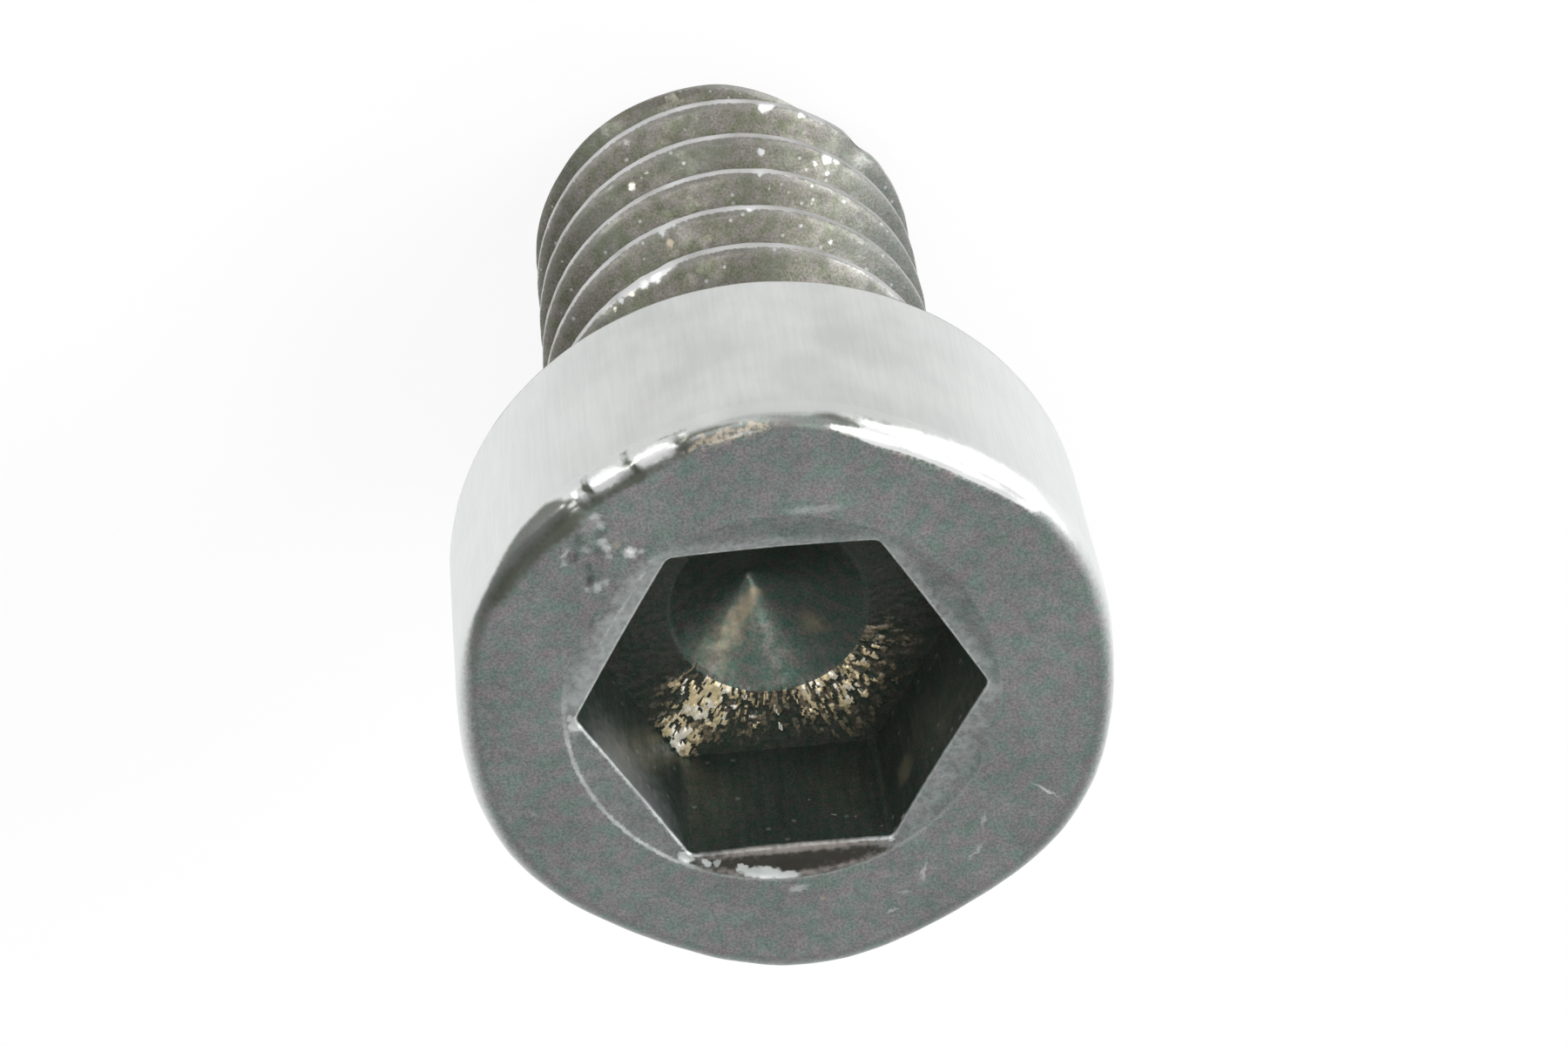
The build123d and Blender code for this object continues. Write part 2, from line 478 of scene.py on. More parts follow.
# Where across the rim's round it turns as pale as the side: angle, where it begins, where it is fully so
RIM_PALE = (
    (-174, 0.15, 0.90), (-162, 0.05, 0.80), (-150, 0.00, 0.70), (-141, 0.00, 0.60), (-138, 0.00, 0.30),
    (-108, 0.00, 0.15), (-104, 0.35, 0.60), (-101, 0.50, 0.70), (-96, 0.36, 0.55), (-88, 0.36, 0.55),
    (-78, 0.40, 0.60), (-74, 0.35, 0.60), (-72, 0.00, 0.40), (-54, 0.00, 0.35), (-51, 0.45, 0.75),
    (-48, 0.75, 1.00), (-42, 0.68, 0.88), (-36, 0.52, 0.68), (-30, 0.40, 0.53), (-24, 0.40, 0.56),
    (-18, 0.30, 0.65), (-12, 0.10, 0.75), (-6, 0.00, 0.80), (12, 0.00, 0.80), (42, 0.15, 0.95),
    (150, 0.15, 0.90), (180, 0.20, 0.95),
)

# How wide the rim's round is in millimetres, by angle
RIM_WIDTHS = (
    (-180, 0.30), (-140, 0.30), (-128, 0.36), (-108, 0.38), (-98, 0.31), (-90, 0.30), (-82, 0.35),
    (-75, 0.34), (-50, 0.32), (-30, 0.33), (-15, 0.30),
)

# Dents in the head's face: angle, radius, size, length, heading from the ring's direction, depth
FACE_DENTS = (
    (-53.0, 4.42, 0.16, 0.22, 70, 0.050),
    (-52.9, 4.12, 0.07, 0.10, 80, 0.022),
    (-50.0, 3.72, 0.06, 0.10, 40, 0.016),
    (-53.0, 3.45, 0.06, 0.09, 0, 0.014),
    (-42.3, 4.02, 0.05, 0.17, 20, 0.020),
    (-40.9, 3.49, 0.06, 0.12, 30, 0.022),
    (-99.5, 3.24, 0.07, 0.30, 5, 0.006),
    (152.0, 4.12, 0.05, 0.22, 78, 0.008),
    (131.0, 3.92, 0.05, 0.17, 10, 0.008),
    (119.0, 3.74, 0.06, 0.15, 40, 0.008),
)

# Dents at the mouth, in the same terms
MOUTH_DENTS = (
    (82.0, 3.03, 0.10, 0.36, 0, 0.018),
    (1.5, 3.06, 0.10, 0.12, 0, 0.015),
    (57.5, 3.04, 0.11, 0.13, 0, 0.020),
)

# Dents across the rim's round: angle, size, depth
RIM_DENTS = (
    (-116.0, 0.10, 0.030),
    (-53.5, 0.15, 0.045),
    (-64.3, 0.08, 0.028),
    (-74.0, 0.09, 0.022),
    (-98.0, 0.12, 0.010),
)

# The mashed stretch of the rim, which is dark: angle, radius, size, length
MASHED = (-48.5, 4.44, 0.16, 0.30)

# A thin scrape beside the socket's edge: its two ends by angle, how far off the edge it is, and how fast it
# drifts off past the angle where it starts to
SCRAPE_ENDS = (-58, -3)
SCRAPE_OFF = 0.20
SCRAPE_DRIFT = 0.002
SCRAPE_DRIFT_FROM = -30

# Shine of the thread's crest, by angle: rubbed bare metal with a painted highlight
CREST_SHINE = ((-180, 0.40), (-150, 0.35), (-120, 0.45), (-95, 0.75), (-50, 0.80), (-20, 0.65), (10, 0.70))

# Rubbed stretches of the crest: angle, turn, half the length, how far the shine spreads, depth
CREST_RUBS = (
    (-66.0, 5, 0.28, 0.06, 0.030),
    (-57.0, 5, 0.16, 0.05, 0.025),
    (-49.0, 5, 0.10, 0.03, 0.015),
    (-128.0, 5, 0.30, 0.02, 0.010),
    (-139.0, 5, 0.20, 0.03, 0.010),
    (-71.0, 4, 0.12, 0.03, 0.015),
    (-96.0, 4, 0.07, 0.02, 0.015),
    (-105.5, 1, 0.12, 0.03, 0.025),
    (-122.0, 1, 0.20, 0.03, 0.015),
    (-124.0, 2, 0.12, 0.03, 0.020),
    (-100.0, 3, 0.07, 0.02, 0.010),
)

# The notch where the thread starts, on the first crest: angle, size, length, depth
THREAD_START_NOTCH = (-139.0, 0.24, 0.24, 0.08)

# An offset far from every worn edge
FAR_OFF = 9.0


def flake_place(points):
    """Places on the socket's floor, stretched so that flakes come out long toward the wall."""
    offset = points[:, :2] - np.array(SOCKET_CENTRE)
    radius = np.hypot(offset[:, 0], offset[:, 1])
    turn = offset / radius[:, None]
    warp = 0.30 * np.column_stack([lumps(points, 0.30, seed, 2) for seed in (21, 22, 23)])
    return np.column_stack([10 * turn, 2.4 * radius]) + warp


def flake_seeds():
    """Places of the torn floor's flakes, how bright each is (bare metal with a painted glint), and how it
    slopes.
    """
    chance = np.random.default_rng(8)
    degrees = np.append(chance.uniform(-180, 180, FLAKE_COUNT), [flake[0] for flake in FLAKES])
    radius = np.append(chance.uniform(PIT_RADIUS, FLAKE_REACH, FLAKE_COUNT), [flake[1] for flake in FLAKES])
    share = (radius - PIT_RADIUS) / (hexagon_radius(np.radians(degrees)) - PIT_RADIUS)
    gold = bell(degrees, 55, 11) * (np.abs(radius - 2.28) > 0.07)
    dull = bell(degrees, 92, 9) * bell(radius, 2.0, 0.35)
    torn = around(degrees, FLOOR_TORN) * np.interp(share, *TORN_OUTWARD)
    torn = np.maximum(torn, 0.95 * gold) * (1 - 0.6 * dull)
    picked = chance.random(len(degrees))
    brightness = np.where(picked > 0.72 - 0.42 * gold, 0.80, 0.65 * picked)
    brightness = torn * np.where(picked > 0.93 - 0.22 * gold, 1.05, brightness)
    brightness[FLAKE_COUNT:] = [flake[2] for flake in FLAKES]
    x = SOCKET_CENTRE[0] + radius * np.cos(np.radians(degrees))
    y = SOCKET_CENTRE[1] + radius * np.sin(np.radians(degrees))
    places = flake_place(np.column_stack([x, y, np.full(len(degrees), SOCKET_FLOOR_Z)]))
    return places, brightness, chance.normal(0, 0.06, (len(degrees), 3))


def nearest_seed(seeds, points):
    """How far each point is from its nearest seed, and which one that is."""
    tree = kdtree.KDTree(len(seeds))
    for index, seed in enumerate(seeds):
        tree.insert(seed, index)
    tree.balance()
    places = flake_place(points)
    nearest = np.array([tree.find(place)[1] for place in places])
    return places - seeds[nearest], nearest


class WearAndPaintedLight:
    """Wear and painted light at each point: how far it moves along its normal, and masks for the materials to
    read, some of which paint highlights, glints, reflections and shade.
    """

    MASKS = ("line_off", "line_shine", "tone", "bare", "dark", "warm", "polish", "edge")

    def __init__(self, skin):
        self.skin = skin
        self.points = skin.points
        shake = np.column_stack([lumps(self.points, 0.11, seed) for seed in (1, 5, 9)])
        self.ragged = self.points + 0.03 * shake
        self.degrees = np.degrees(np.arctan2(self.points[:, 1], self.points[:, 0]))
        self.radius = np.hypot(self.points[:, 0], self.points[:, 1])
        offset = self.points[:, :2] - np.array(SOCKET_CENTRE)
        socket_angle = np.arctan2(offset[:, 1], offset[:, 0])
        self.socket_degrees = np.degrees(socket_angle)
        self.socket_radius = np.hypot(offset[:, 0], offset[:, 1])
        self.wall_radius = hexagon_radius(socket_angle)
        self.shift = np.zeros(len(self.points))
        for mask in self.MASKS:
            setattr(self, mask, np.zeros(len(self.points)))
        self.line_off += FAR_OFF

    def dent(self, where, degrees, radius, size, length, turn, depth):
        """Sinks a ragged dent into the head's top, at the points of one mask."""
        place = polar_point(degrees, radius)
        self.shift -= depth * where * patch(self.ragged, place, size, length, ring_heading(degrees + turn))

    def set_line(self, where, off, shine):
        """The offset from the nearest worn edge and that edge's shine, which is bare metal with a painted
        highlight, at the points of one mask.
        """
        self.line_off = np.where(where > 0, off, self.line_off)
        self.line_shine = np.where(where > 0, shine, self.line_shine)

    def face(self):
        on_face = self.skin.within("face", "mouth", "rim")
        for row in FACE_DENTS:
            self.dent(on_face, *row)

    def across_rim(self):
        """Places across the rim's round: 0 at the face, 1 at the side, and below 0 on the face inside it."""
        below = np.clip((TOP_Z - self.points[:, 2]) / RIM_ROUND, 0, 1)
        flat_radius = lobed(HEAD_RADIUS - around(self.degrees, RIM_WIDTHS), np.radians(self.degrees), 1)
        inside = np.clip(flat_radius - self.radius, 0, None)
        return np.arccos(1 - below) / (pi / 2) - 2 * inside * self.skin.within("face")

    def rim(self):
        on_rim, on_face = self.skin.within("rim"), self.skin.within("face")
        near_rim = self.skin.within("rim", "face", "side")
        for degrees, size, depth in RIM_DENTS:
            place = polar_point(degrees, HEAD_RADIUS - 0.10, TOP_Z - 0.08)
            self.shift -= depth * near_rim * patch(self.ragged, place, size)
        self.shift += 0.006 * near_rim * lumps(self.points, 0.5, 11.0)
        wander = self.degrees + 1.2 * lumps(self.points, 0.25, 4.0)
        across = self.across_rim()
        self.polish += on_rim * around(wander, RIM_POLISH) * np.clip(across / 0.15, 0, 1)
        pale_from, pale_full = around(wander, RIM_PALE), around(wander, RIM_PALE, 2)
        self.edge += on_rim * np.clip((across - pale_from) / (pale_full - pale_from), 0, 1)
        # The bare marks paint highlights and the dark marks a dark reflection on top of the wear, on the rim
        # and reaching onto the face beside it.
        for mask, rows in RIM_MARKS.items():
            marked = on_rim + (1.0 if mask == "dark" else 0.6) * on_face
            for degrees, place, half_degrees, half_across, strength in rows:
                mark = bell(wander, degrees, half_degrees) * bell(across, place, half_across)
                setattr(self, mask, getattr(self, mask) + marked * strength * mark)
        degrees, radius, size, length = MASHED
        mashed = patch(self.ragged, polar_point(degrees, radius), size, length, ring_heading(degrees))
        self.dark = np.maximum(self.dark, 0.7 * near_rim * mashed)

    def side(self):
        # Painted reflection: the side and rim are painted paler where they turn from the front toward the
        # left and right, and greyer at the front and back.
        from_front = np.abs((self.degrees + 90 + 180) % 360 - 180)
        painted_reflection = np.interp(from_front, (15, 60, 110, 150), (0, 1, 1, 0.1))
        self.tone += self.skin.within("side", "rim") * painted_reflection

    def off_scrape(self, off_edge):
        """How far off the thin scrape beside the socket's edge a point is."""
        past = self.socket_degrees - SCRAPE_DRIFT_FROM
        beyond_ends = (self.socket_degrees < SCRAPE_ENDS[0]) | (self.socket_degrees > SCRAPE_ENDS[1])
        return np.abs(off_edge - SCRAPE_OFF) + SCRAPE_DRIFT * np.clip(past, 0, None) + FAR_OFF * beyond_ends

    def mouth(self):
        here = self.skin.within("mouth", "face", "socket_wall")
        degrees = self.socket_degrees
        past_wall = np.clip(self.socket_radius - self.wall_radius, 0, None)
        below_edge = np.clip(mouth_height(self.wall_radius) - self.points[:, 2], 0, None)
        off_edge = np.hypot(past_wall, below_edge) - MOUTH_EDGE_ROUND / 2
        off_inner = np.minimum(off_edge, self.off_scrape(off_edge))
        off_outer = np.abs(self.socket_radius - MOUTH_RADIUS) - MOUTH_RIM_HALF
        shine = np.where(off_inner < off_outer, around(degrees, INNER_SHINE), around(degrees, OUTER_SHINE))
        uneven = np.clip(1.0 + 0.7 * lumps(self.points, 0.3, 7.0), 0.2, 1.3)
        self.set_line(here, np.minimum(off_inner, off_outer), shine * uneven)
        band = np.clip(1.6 - 1.2 * np.clip(off_edge, 0, None) / around(degrees, MOUTH_BAND), 0, 1)
        self.tone += self.skin.within("mouth", "face") * around(degrees, MOUTH_TONE) * band
        beside_edges = bell(off_inner, 0.05, 0.07) + 0.8 * bell(off_outer, 0.05, 0.06)
        self.warm += self.skin.within("mouth") * beside_edges * bell(degrees, 90, 26, 4)
        for row in MOUTH_DENTS:
            self.dent(here, *row)

    def walls(self):
        on_wall = self.skin.within("socket_wall")
        drawn_out = self.points * (1, 1, 0.04)
        self.shift += 0.006 * on_wall * lumps(drawn_out, 0.09, 2.0)
        # Painted sheen on the lower-left walls: paler near the top edge and fading with depth.
        depth = TOP_Z - self.points[:, 2]
        fading = np.clip(1.15 - 0.62 * depth - 0.004 * self.socket_degrees, 0, 1)
        self.tone += on_wall * bell(self.socket_degrees, 31, 25, 4) * fading

    def floor(self):
        on_floor = self.skin.within("torn_floor")
        here = np.flatnonzero(on_floor)
        seeds, brightness, slopes = flake_seeds()
        away, nearest = nearest_seed(seeds, self.points[here])
        # Brighter flakes stand higher, so that the colour paints glints on the peaks and shade in the gaps.
        lift = 0.05 * (brightness[nearest] - 0.3) + (away * slopes[nearest]).sum(axis=1)
        self.shift[here] += np.clip(lift, -0.08, 0.10) * np.clip(3 * brightness[nearest], 0, 1)
        self.shift += 0.006 * on_floor * lumps(self.points, 0.08, 6.0, 2)
        faces = [self.points[list(corners)].mean(axis=0) for corners in self.skin.faces]
        on_floor = np.array(self.skin.zones) == ZONES.index("torn_floor")
        self.flake = np.zeros(len(faces))
        self.flake[on_floor] = brightness[nearest_seed(seeds, np.array(faces)[on_floor])[1]]

    def pit(self):
        on_pit = self.skin.within("pit")
        fading = np.clip(1.35 - self.socket_radius / PIT_RADIUS, 0, 1)
        # Painted highlight: a warm streak fanning out from the cone's point, with a faint warm patch across
        # from it.
        cone_highlight = bell(self.socket_degrees, 46, 20) * fading
        faint = bell(self.socket_degrees, 140, 13) * bell(self.socket_radius, 0.85, 0.25)
        self.warm += on_pit * (0.9 * cone_highlight + 0.7 * faint)
        self.shift += 0.004 * on_pit * lumps(self.points, 0.3, 8.0)

    def thread(self):
        on_thread = self.skin.within("thread")
        z = self.points[:, 2]
        off = off_crest(np.radians(self.degrees), z) - CREST_HALF
        uneven = 1 + 0.4 * lumps(self.points, 0.5, 3.0)
        shine = np.clip(around(self.degrees, CREST_SHINE) * uneven, 0.2, 1.1)
        crest = on_thread * (off < 0.0) * (self.radius > CREST_RADIUS - 0.03)
        self.shift += 0.008 * crest * lumps(self.points, 0.25, 13.0)
        for degrees, turn, reach, spread, depth in CREST_RUBS:
            place = polar_point(degrees, CREST_RADIUS - spread / 3, crest_z(degrees, turn) + spread / 2)
            spot = on_thread * patch(self.ragged, place, 0.08 + spread, reach, ring_heading(degrees))
            self.shift -= depth * spot
            off = off - 1.6 * spread * spot
            shine = shine + 0.4 * spot
        degrees, size, length, depth = THREAD_START_NOTCH
        place = polar_point(degrees, CREST_RADIUS, crest_z(degrees, 1))
        self.shift -= depth * on_thread * patch(self.points, place, size, length, ring_heading(degrees))
        # Painted light: the thread is painted paler on the side round -158 degrees, which faces the
        # broad_left lamp.
        self.tone += on_thread * bell(self.degrees, -158, 30)
        off_foot = z - 0.05
        shine = np.where(off_foot < off, 0.22, shine * (z < SHOULDER_Z - 0.1))
        self.set_line(on_thread, np.minimum(off, off_foot), shine)

    def all(self):
        self.face()
        self.rim()
        self.side()
        self.mouth()
        self.walls()
        self.floor()
        self.pit()
        self.thread()


def make_screw():
    skin = build_skin()
    mesh = bpy.data.meshes.new("cap_screw")
    mesh.from_pydata((skin.points * MM).tolist(), [], skin.faces)
    normals = np.zeros(3 * len(skin.points))
    mesh.vertex_normals.foreach_get("vector", normals)
    wear_and_light = WearAndPaintedLight(skin)
    wear_and_light.all()
    worn = (skin.points + normals.reshape(-1, 3) * wear_and_light.shift[:, None]) * MM
    worn[:, 2] = np.maximum(worn[:, 2], 0)
    mesh.vertices.foreach_set("co", worn.ravel())
    for mask in WearAndPaintedLight.MASKS:
        mesh.attributes.new(mask, "FLOAT", "POINT").data.foreach_set("value", getattr(wear_and_light, mask))
    mesh.attributes.new("flake", "FLOAT", "FACE").data.foreach_set("value", wear_and_light.flake)
    for zone in ZONES:
        mesh.materials.append(STEELS[zone]())
    mesh.polygons.foreach_set("material_index", skin.zones)
    mesh.shade_smooth()
    mesh.polygons.foreach_set("use_smooth", [ZONES[zone] != "torn_floor" for zone in skin.zones])
    mesh.set_sharp_from_angle(angle=radians(50))
    mesh.validate()
    screw = bpy.data.objects.new("cap_screw", mesh)
    bpy.context.scene.collection.objects.link(screw)
    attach(screw, "root")
    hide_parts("screw")
    return screw


class Finish:
    """Builds one procedural material out of nodes, with places in millimetres."""

    def __init__(self, name):
        self.material = bpy.data.materials.new(name)
        self.material.use_nodes = True
        self.tree = self.material.node_tree
        self.shader = self.tree.nodes["Principled BSDF"]
        scale = (1 / MM, 1 / MM, 1 / MM)
        self.place = self.vector("MULTIPLY", self.node("ShaderNodeTexCoord").outputs["Object"], scale)
        self.normal = None

    def node(self, kind, inputs=None, **settings):
        """A node with these settings, and its inputs fed by name or number."""
        made = self.tree.nodes.new(kind)
        for name, value in settings.items():
            setattr(made, name, value)
        for name, value in (inputs or {}).items():
            self.feed(made.inputs[name], value)
        return made

    def feed(self, socket, value):
        """Links a socket, or sets a number, a vector or a colour on it."""
        if isinstance(value, bpy.types.NodeSocket):
            self.tree.links.new(value, socket)
        elif isinstance(value, tuple) and socket.type == "RGBA":
            socket.default_value = (*value, 1)
        else:
            socket.default_value = value

    def math(self, operation, a, b=0.0):
        return self.node("ShaderNodeMath", {0: a, 1: b}, operation=operation).outputs[0]

    def vector(self, operation, a, b=(0, 0, 0), output="Vector"):
        return self.node("ShaderNodeVectorMath", {0: a, 1: b}, operation=operation).outputs[output]

    def remap(self, value, low, high, to_low=0.0, to_high=1.0):
        """A value that goes smoothly between two numbers while another goes from low to high."""
        inputs = dict(enumerate((value, low, high, to_low, to_high)))
        return self.node("ShaderNodeMapRange", inputs, interpolation_type="SMOOTHSTEP").outputs[0]

    def mix(self, share, a, b, blend="MIX"):
        inputs = {"Factor": share, 6: a, 7: b}
        return self.node("ShaderNodeMix", inputs, data_type="RGBA", blend_type=blend).outputs[2]

    def over(self, colour, value, low, high, shade):
        """The colour, which turns into the shade as a value goes from low to high."""
        return self.mix(self.remap(value, low, high), colour, shade)

    def lay(self, colour, share, strength, shade):
        """The colour with this strength of the shade over it, where the share is 1."""
        return self.mix(self.math("MULTIPLY", share, strength), colour, shade)

    def mask(self, name):
        return self.node("ShaderNodeAttribute", attribute_name=name).outputs["Fac"]

    def noise(self, place, size, detail):
        inputs = {"Vector": place, "Scale": 1 / size, "Detail": detail}
        return self.node("ShaderNodeTexNoise", inputs)

    def grain(self, size, detail=3.0, stretch=None):
        """Noise from 0 to 1 with features of about this size in millimetres."""
        place = self.vector("MULTIPLY", self.place, stretch) if stretch else self.place
        return self.noise(place, size, detail).outputs["Fac"]

    def uneven(self, low, high, size=0.25, detail=4.0):
        """A value that wanders between these two."""
        return self.remap(self.grain(size, detail), 0.35, 0.65, low, high)

    def wobble(self, size, reach, detail=3.0):
        """Noise from minus to plus this reach."""
        return self.remap(self.grain(size, detail), 0.3, 0.7, -reach, reach)

    def worn(self, mask, size, reach):
        """A mask whose outline is broken up."""
        return self.math("ADD", self.mask(mask), self.wobble(size, reach))

    def ragged(self, size, reach):
        """The place, moved about by up to this reach in millimetres."""
        shake = self.noise(self.place, size, 3.0).outputs["Color"]
        away = self.vector("SUBTRACT", shake, (0.5, 0.5, 0.5))
        scale = (3 * reach, 3 * reach, 3 * reach)
        return self.vector("ADD", self.place, self.vector("MULTIPLY", away, scale))

    def stamp(self, colour, place, centre, half_sizes, turn, soft, strength, shade):
        """The colour with a small ellipsoid of the shade on it, which fades out over the soft share of it."""
        inputs = {"Vector": place, "Location": tuple(centre), "Rotation": (0, 0, turn), "Scale": half_sizes}
        inside = self.node("ShaderNodeMapping", inputs, vector_type="TEXTURE").outputs[0]
        spot = self.remap(self.vector("LENGTH", inside, output="Value"), 1 + soft, 1 - soft)
        return self.lay(colour, spot, strength, shade)

    def specks(self, size, share):
        """Small round specks in this share of the cells of this size."""
        cells = self.node("ShaderNodeTexVoronoi", {"Vector": self.place, "Scale": 1 / size})
        chance = self.node("ShaderNodeSeparateColor", {0: cells.outputs["Color"]}).outputs[0]
        picked = self.math("LESS_THAN", chance, share)
        return self.math("MULTIPLY", picked, self.remap(cells.outputs["Distance"], 0.40, 0.20))

    def mottle(self, zone, size, contrast):
        """A zone's two shades in soft patches, with a fine speckle over them."""
        colour = self.mix(self.remap(self.grain(size, 5.0), 0.30, 0.70), *MOTTLES[zone])
        speckle = self.remap(self.grain(0.035, 4.0), 0.25, 0.75, 1 - contrast, 1 + contrast)
        cloud = self.remap(self.grain(1.3, 2.0), 0.35, 0.65, 0.94, 1.06)
        return self.mix(1.0, colour, self.math("MULTIPLY", speckle, cloud), "MULTIPLY")

    def line(self, far, near, ragged):
        """The shine along the nearest worn edge, bare metal with a painted highlight, none past the far
        offset and full within the near one.
        """
        wobble = self.remap(self.grain(0.06, 3.0), 0.25, 0.75, -ragged, ragged)
        off = self.math("ADD", self.mask("line_off"), wobble)
        return self.math("MULTIPLY", self.remap(off, far, near), self.mask("line_shine"))

    def relief(self, depth, size, detail=2.0, stretch=None):
        """Adds a grainy relief of this depth in millimetres."""
        inputs = {"Strength": 1.0, "Distance": depth * MM, "Height": self.grain(size, detail, stretch)}
        if self.normal:
            inputs["Normal"] = self.normal
        self.normal = self.node("ShaderNodeBump", inputs).outputs["Normal"]

    def done(self, colour, roughness, metal):
        inputs = {"Base Color": colour, "Roughness": roughness, "Metallic": metal, "Normal": self.normal}
        for name, value in inputs.items():
            self.feed(self.shader.inputs[name], value)
        return self.material


# Shades
PALE = (0.60, 0.63, 0.62)
BRIGHT = (0.86, 0.87, 0.86)
WHITE_GOLD = (0.95, 0.90, 0.78)
DARK = (0.035, 0.038, 0.030)
BROWN = (0.048, 0.046, 0.038)
TAN = (0.50, 0.43, 0.33)
SCRAPED = (0.42, 0.45, 0.44)
RIM_DARK = (0.100, 0.108, 0.086)
RIM_POLISHED = (0.17, 0.175, 0.16)
PALE_SIDE = (0.74, 0.76, 0.75)
STAIN = (0.30, 0.27, 0.18)

# The two shades of each zone's mottle
MOTTLES = {
    "face": ((0.172, 0.226, 0.202), (0.238, 0.218, 0.228)),
    "mouth": ((0.180, 0.222, 0.205), (0.228, 0.222, 0.228)),
    "side": ((0.555, 0.575, 0.560), (0.595, 0.602, 0.592)),
    "thread": ((0.126, 0.134, 0.092), (0.184, 0.168, 0.154)),
    # The thread's painted lit side
    "paler thread": ((0.190, 0.225, 0.205), (0.250, 0.245, 0.238)),
    "underside": ((0.24, 0.24, 0.22), (0.30, 0.29, 0.27)),
    "tip": ((0.18, 0.18, 0.165), (0.26, 0.25, 0.23)),
    "wall": ((0.042, 0.078, 0.060), (0.076, 0.078, 0.074)),
    "floor": ((0.028, 0.044, 0.032), (0.050, 0.048, 0.040)),
    "pit": ((0.056, 0.098, 0.078), (0.104, 0.098, 0.088)),
}

# Scuffs on the head's face, and painted shade in and beside the dents, which is what the DARK ones are:
# angle, radius, half length, half width, heading as for the dents, shade, share
SCUFFS_AND_DENT_SHADE = (
    (-53.4, 4.20, 0.07, 0.06, 70, PALE, 0.8),
    (-53.0, 4.06, 0.06, 0.05, 40, PALE, 0.6),
    (-50.6, 3.84, 0.07, 0.06, 60, PALE, 0.8),
    (-50.2, 3.72, 0.06, 0.06, 10, BRIGHT, 0.6),
    (-49.0, 3.60, 0.05, 0.04, 30, PALE, 0.45),
    (-53.2, 3.45, 0.07, 0.07, 0, BRIGHT, 0.9),
    (-55.2, 3.36, 0.04, 0.03, 0, PALE, 0.6),
    (-47.0, 3.92, 0.05, 0.04, 50, PALE, 0.3),
    (-43.6, 4.10, 0.08, 0.04, 20, PALE, 0.55),
    (-41.6, 4.00, 0.06, 0.04, 70, PALE, 0.45),
    (-41.2, 3.40, 0.08, 0.05, 20, PALE, 0.6),
    (-43.4, 3.36, 0.06, 0.04, -10, PALE, 0.45),
    (-39.2, 3.50, 0.05, 0.04, 40, PALE, 0.35),
    (-41.5, 3.55, 0.08, 0.06, 30, DARK, 0.75),
    (-44.0, 3.70, 0.10, 0.06, 70, DARK, 0.35),
    (-44.2, 3.95, 0.09, 0.06, 20, DARK, 0.45),
    (-47.5, 4.10, 0.12, 0.08, 20, DARK, 0.40),
    (-51.6, 3.96, 0.08, 0.05, 20, DARK, 0.40),
    (-52.2, 3.66, 0.06, 0.05, 20, TAN, 0.45),
    (-48.6, 3.76, 0.09, 0.07, 20, DARK, 0.35),
    (-99.0, 3.24, 0.36, 0.05, 8, PALE, 0.35),
    (152.0, 4.12, 0.19, 0.018, 80, PALE, 0.9),
    (89.5, 3.30, 0.12, 0.05, 15, PALE, 0.55),
    (95.0, 3.55, 0.03, 0.03, 0, TAN, 0.5),
    (109.0, 4.10, 0.07, 0.025, 10, PALE, 0.5),
    (131.5, 3.93, 0.17, 0.022, 12, PALE, 0.45),
    (119.5, 3.70, 0.14, 0.030, 50, PALE, 0.55),
    (113.0, 3.86, 0.11, 0.022, -30, PALE, 0.35),
    (139.0, 3.62, 0.13, 0.020, 35, PALE, 0.35),
    (22.0, 4.10, 0.12, 0.018, 40, PALE, 0.2),
)


def face_steel():
    finish = Finish("steel_face")
    colour = finish.mottle("face", 0.26, 0.28)
    ragged = finish.ragged(0.08, 0.050)
    # The DARK stamps are painted shade of the dents; the others are scuffs.
    for degrees, radius, half_length, half_width, turn, shade, share in SCUFFS_AND_DENT_SHADE:
        centre = polar_point(degrees, radius)
        sizes = (half_length, half_width, 0.2)
        colour = finish.stamp(colour, ragged, centre, sizes, radians(degrees + 90 + turn), 0.8, share, shade)
    colour = finish.over(colour, finish.worn("tone", 0.10, 0.2), 0.1, 1.3, SCRAPED)
    # Rim marks that reach onto the face: dark wear with a painted dark reflection, a tan tint, and bare metal
    # with a painted highlight.
    for mask, shade in (("dark", RIM_DARK), ("warm", TAN), ("bare", BRIGHT)):
        colour = finish.over(colour, finish.worn(mask, 0.07, 0.12), 0.2, 0.9, shade)
    colour = finish.mix(finish.line(0.035, 0.0, 0.015), colour, PALE)
    finish.relief(0.0025, 0.05)
    finish.relief(0.004, 0.3, 4.0)
    return finish.done(colour, finish.uneven(0.44, 0.58), 0.7)


# Pale chips at the mouth: angle, radius, half length, half width, share
MOUTH_CHIPS = (
    (80.0, 3.03, 0.34, 0.095, 1.0),
    (87.0, 3.06, 0.14, 0.07, 1.0),
    (74.0, 2.98, 0.10, 0.05, 0.9),
    (1.5, 3.03, 0.10, 0.12, 0.9),
    (-1.0, 3.10, 0.06, 0.05, 0.8),
    (57.5, 3.05, 0.12, 0.08, 0.9),
    (63.5, 3.03, 0.08, 0.05, 0.8),
    (66.5, 2.98, 0.05, 0.05, 0.6),
    (118.0, 2.93, 0.06, 0.04, 0.7),
)


